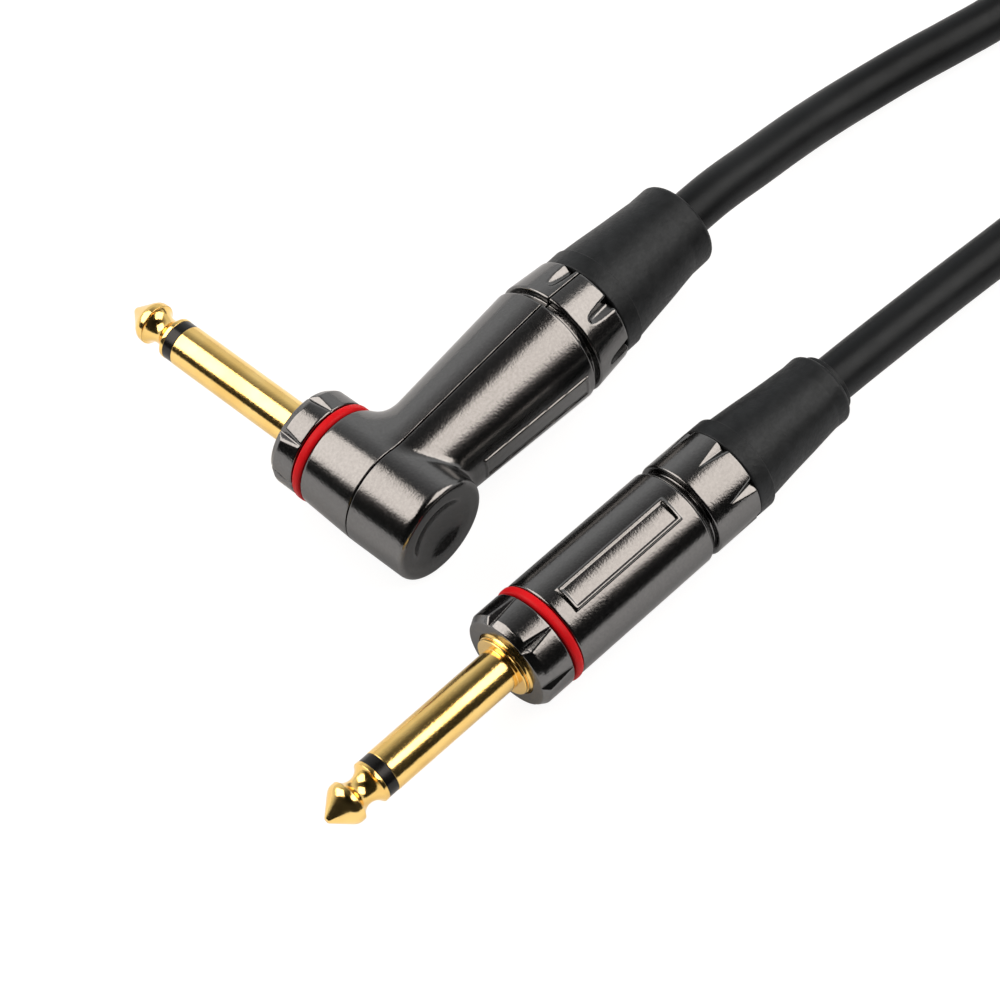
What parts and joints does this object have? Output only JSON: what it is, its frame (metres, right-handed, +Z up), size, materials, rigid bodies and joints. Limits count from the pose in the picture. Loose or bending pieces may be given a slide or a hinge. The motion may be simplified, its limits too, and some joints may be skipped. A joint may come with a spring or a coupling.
{
  "type": "instrument cable",
  "caption": "Instrument cable with a straight and a right-angle 6.35 mm plug, gold jacks, notched gunmetal bodies with red rings, rubber boots and a round black cable coiled beside them",
  "frame": {"origin": "on the table, under the middle of the box round the two plugs, without the free cable", "axes": "+X runs along the straight plug from its tip to its boot, +Y towards the tip of the right-angle plug, +Z up from the table"},
  "size_m": [0.3093, 0.1078, 0.0312],
  "materials": {
    "gunmetal": "satin gunmetal plating on die-cast metal",
    "gold": "polished gold plating",
    "black_plastic": "gloss black",
    "white_plastic": "natural white",
    "tinned_metal": "tinned sheet",
    "solder": "bright solder",
    "copper": "bare copper strands",
    "red_ring": "satin red elastomer",
    "boot_rubber": "matte moulded rubber",
    "cable_jacket": "satin black jacket",
    "tie_fabric": "woven hook-and-loop strap"
  },
  "bodies": {
    "cable": {"straight_tip_contact": "gold", "straight_insulator": "black_plastic", "straight_sleeve": "gold", "straight_rear_insulator": "white_plastic", "straight_ground_lug": "tinned_metal", "straight_tip_lug": "tinned_metal", "straight_barrel": "gunmetal", "straight_liner": "white_plastic", "straight_conductor": "copper", "straight_dielectric": "white_plastic", "straight_shield": "copper", "straight_tip_solder": "solder", "straight_ground_solder": "solder", "angle_tip_contact": "gold", "angle_insulator": "black_plastic", "angle_sleeve": "gold", "angle_rear_insulator": "white_plastic", "angle_ground_lug": "tinned_metal", "angle_tip_lug": "tinned_metal", "angle_front_shell": "gunmetal", "angle_back_shell": "gunmetal", "angle_conductor": "copper", "angle_dielectric": "white_plastic", "angle_shield": "copper", "angle_tip_solder": "solder", "angle_ground_solder": "solder", "cable_lead_straight": "cable_jacket", "cable_lead_angle": "cable_jacket", "cable_coil": "cable_jacket", "coil_ties": "tie_fabric"},
    "straight_ring": {"straight_colour_ring": "red_ring"},
    "straight_nose": {"straight_nose_nut": "gunmetal"},
    "straight_clamp": {"straight_chuck": "white_plastic"},
    "straight_gland": {"straight_gland_nut": "gunmetal", "straight_boot": "boot_rubber"},
    "angle_ring": {"angle_colour_ring": "red_ring"},
    "angle_nose": {"angle_nose_nut": "gunmetal"},
    "angle_clamp": {"angle_chuck": "white_plastic"},
    "angle_gland": {"angle_gland_nut": "tinned_metal", "angle_boot": "boot_rubber"}
  },
  "joints": [
    {"name": "straight_nose_travel", "type": "slide", "parent": "cable", "child": "straight_ring", "axis": [-1, 0, 0], "range_m": [0, 0.004]},
    {"name": "straight_nose_turn", "type": "hinge", "parent": "straight_ring", "child": "straight_nose", "pos_m": [0, -0.03631, 0.00775], "axis": [-1, 0, 0], "range_deg": [0, 1440]},
    {"name": "straight_gland_travel", "type": "slide", "parent": "cable", "child": "straight_clamp", "axis": [1, 0, 0], "range_m": [0, 0.004]},
    {"name": "straight_gland_turn", "type": "hinge", "parent": "straight_clamp", "child": "straight_gland", "pos_m": [0, -0.03631, 0.00775], "axis": [1, 0, 0], "range_deg": [0, 1440]},
    {"name": "angle_nose_travel", "type": "slide", "parent": "cable", "child": "angle_ring", "axis": [-0.0523, 0.9986, 0], "range_m": [0, 0.004]},
    {"name": "angle_nose_turn", "type": "hinge", "parent": "angle_ring", "child": "angle_nose", "pos_m": [-0.01047, -0.00542, 0.00945], "axis": [-0.0523, 0.9986, 0], "range_deg": [0, 1440]},
    {"name": "angle_gland_travel", "type": "slide", "parent": "cable", "child": "angle_clamp", "axis": [0.9986, 0.0523, 0], "range_m": [0, 0.004]},
    {"name": "angle_gland_turn", "type": "hinge", "parent": "angle_clamp", "child": "angle_gland", "pos_m": [-0.01047, -0.00542, 0.00945], "axis": [0.9986, 0.0523, 0], "range_deg": [0, 1440]}
  ],
  "couplings": [
    {"joint": "straight_nose_travel", "follows": "straight_nose_turn", "m_per_rad": 0.000159},
    {"joint": "straight_gland_travel", "follows": "straight_gland_turn", "m_per_rad": 0.000159},
    {"joint": "angle_nose_travel", "follows": "angle_nose_turn", "m_per_rad": 0.000159},
    {"joint": "angle_gland_travel", "follows": "angle_gland_turn", "m_per_rad": 0.000159}
  ]
}
